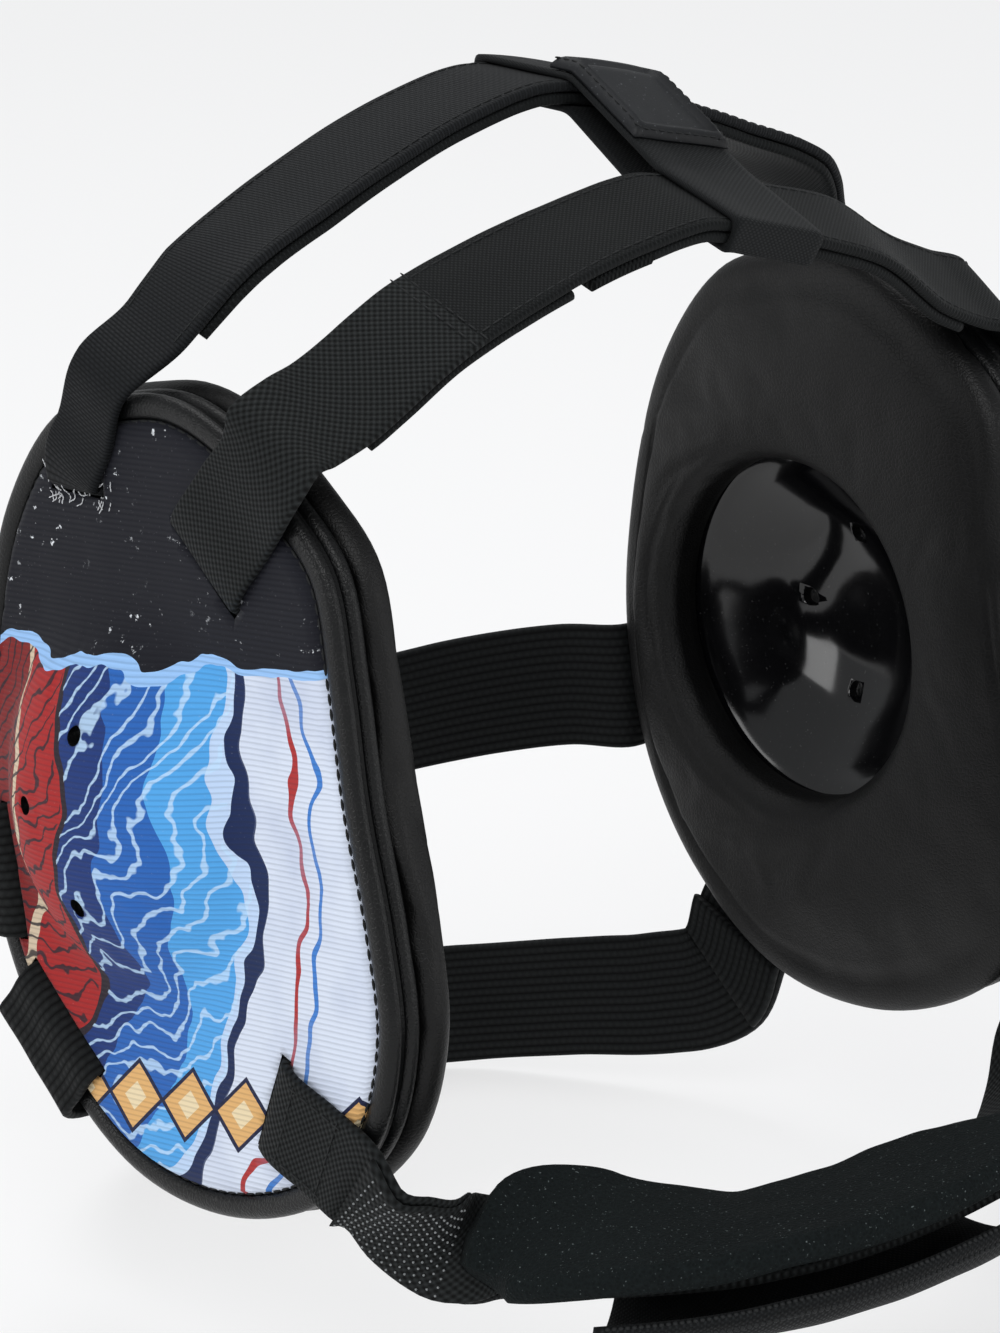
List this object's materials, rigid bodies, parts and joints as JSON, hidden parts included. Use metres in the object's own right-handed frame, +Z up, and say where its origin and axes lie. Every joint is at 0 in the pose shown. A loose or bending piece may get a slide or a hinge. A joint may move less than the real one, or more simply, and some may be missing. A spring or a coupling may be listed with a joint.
{
  "type": "wrestling ear guard",
  "caption": "Head guard with two padded domed ear cups held by two crown straps, two elastics at the back of the head and a padded chin strap.",
  "frame": {"origin": "seat on the crown of the head, under the middle of the rear crown strap", "axes": "+X to the wearer's left, +Y to the back of the head, +Z up"},
  "size_m": [0.2116, 0.2322, 0.2369],
  "materials": {
    "leather": "soft satin",
    "shell": "gloss",
    "print": "ribbed printed cloth",
    "webbing": "woven",
    "elastic": "ribbed",
    "foam": "matt foam",
    "rubber": "matt"
  },
  "bodies": {
    "root": {"right_ear_pad": "leather", "right_piping": "leather", "right_ear_shell": "shell", "right_face_cover": "print", "left_ear_pad": "leather", "left_piping": "leather", "left_ear_shell": "shell", "left_face_cover": "print", "front_crown_strap": "webbing", "rear_crown_strap": "webbing", "front_strap_right_lining": "webbing", "front_strap_left_lining": "webbing", "front_strap_loop_patch": "webbing", "rear_strap_lining": "webbing", "cross_band": "webbing", "cross_band_patch": "rubber", "upper_back_elastic": "elastic", "lower_back_elastic": "elastic", "lower_elastic_lap": "elastic", "chin_strap": "webbing", "chin_hook_patch": "webbing", "chin_pad": "foam", "chin_sleeve": "webbing"}
  },
  "joints": []
}
